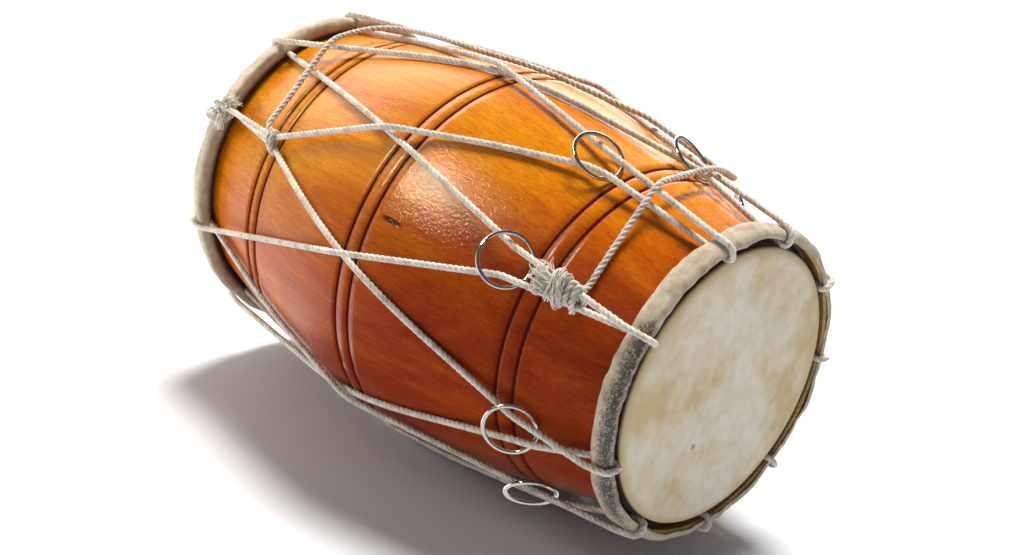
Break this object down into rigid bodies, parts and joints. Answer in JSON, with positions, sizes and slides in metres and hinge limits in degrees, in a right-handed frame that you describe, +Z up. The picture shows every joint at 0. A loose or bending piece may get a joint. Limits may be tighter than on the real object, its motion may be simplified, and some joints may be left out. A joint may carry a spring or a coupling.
{
  "type": "dholak",
  "caption": "Two-headed hand drum: a turned wooden barrel with rawhide heads lapped on cane hoops, laced together by one cotton rope with steel tuning rings.",
  "frame": {"origin": "on the ground under the middle of the drum as it lies: centre of the bounding box's bottom face", "axes": "+X along the drum towards the treble head, +Y to the far side, +Z up"},
  "size_m": [0.4466, 0.2914, 0.2906],
  "materials": {
    "varnished_wood": "glossy amber varnish over fine lengthwise grain",
    "rawhide": "bone-coloured rawhide, satin on the face and suede-like on the lap",
    "cane": "raw split cane",
    "paste": "matt black tuning paste",
    "cotton_rope": "three-strand off-white cotton",
    "ring_steel": "polished nickel-plated steel"
  },
  "bodies": {
    "drum": {"shell": "varnished_wood", "treble_skin": "rawhide", "bass_skin": "rawhide", "treble_hoop": "cane", "bass_hoop": "cane", "tuning_paste": "paste", "lacing_rope": "cotton_rope", "tail_rope": "cotton_rope", "bass_hitch": "cotton_rope", "bass_knot": "cotton_rope", "bass_tuft": "cotton_rope", "treble_tassel": "cotton_rope"},
    "ring_1": {"tuning_ring_1": "ring_steel"},
    "ring_2": {"tuning_ring_2": "ring_steel"},
    "ring_3": {"tuning_ring_3": "ring_steel"},
    "ring_4": {"tuning_ring_4": "ring_steel"},
    "ring_5": {"tuning_ring_5": "ring_steel"},
    "ring_6": {"tuning_ring_6": "ring_steel"},
    "ring_7": {"tuning_ring_7": "ring_steel"},
    "ring_8": {"tuning_ring_8": "ring_steel"},
    "ring_9": {"tuning_ring_9": "ring_steel"}
  },
  "joints": [
    {"name": "ring_1_slide", "type": "slide", "parent": "drum", "child": "ring_1", "axis": [0.9559, 0.077, -0.2836], "range_m": [0, 0.028]},
    {"name": "ring_2_slide", "type": "slide", "parent": "drum", "child": "ring_2", "axis": [0.9607, 0.2191, -0.1703], "range_m": [0, 0.028]},
    {"name": "ring_3_slide", "type": "slide", "parent": "drum", "child": "ring_3", "axis": [0.9701, 0.2403, 0.0332], "range_m": [0, 0.016]},
    {"name": "ring_4_slide", "type": "slide", "parent": "drum", "child": "ring_4", "axis": [0.975, 0.1456, 0.1679], "range_m": [0, 0.025]},
    {"name": "ring_5_slide", "type": "slide", "parent": "drum", "child": "ring_5", "axis": [0.9776, -0.0331, 0.2078], "range_m": [0, 0.028]},
    {"name": "ring_6_slide", "type": "slide", "parent": "drum", "child": "ring_6", "axis": [0.9753, -0.178, 0.1306], "range_m": [0, 0.03]},
    {"name": "ring_7_slide", "type": "slide", "parent": "drum", "child": "ring_7", "axis": [0.9679, -0.2468, -0.0468], "range_m": [0, 0.03]},
    {"name": "ring_8_slide", "type": "slide", "parent": "drum", "child": "ring_8", "axis": [0.9592, -0.2102, -0.1891], "range_m": [0, 0.025]},
    {"name": "ring_9_slide", "type": "slide", "parent": "drum", "child": "ring_9", "axis": [0.9559, -0.0629, -0.287], "range_m": [0, 0.01]}
  ]
}
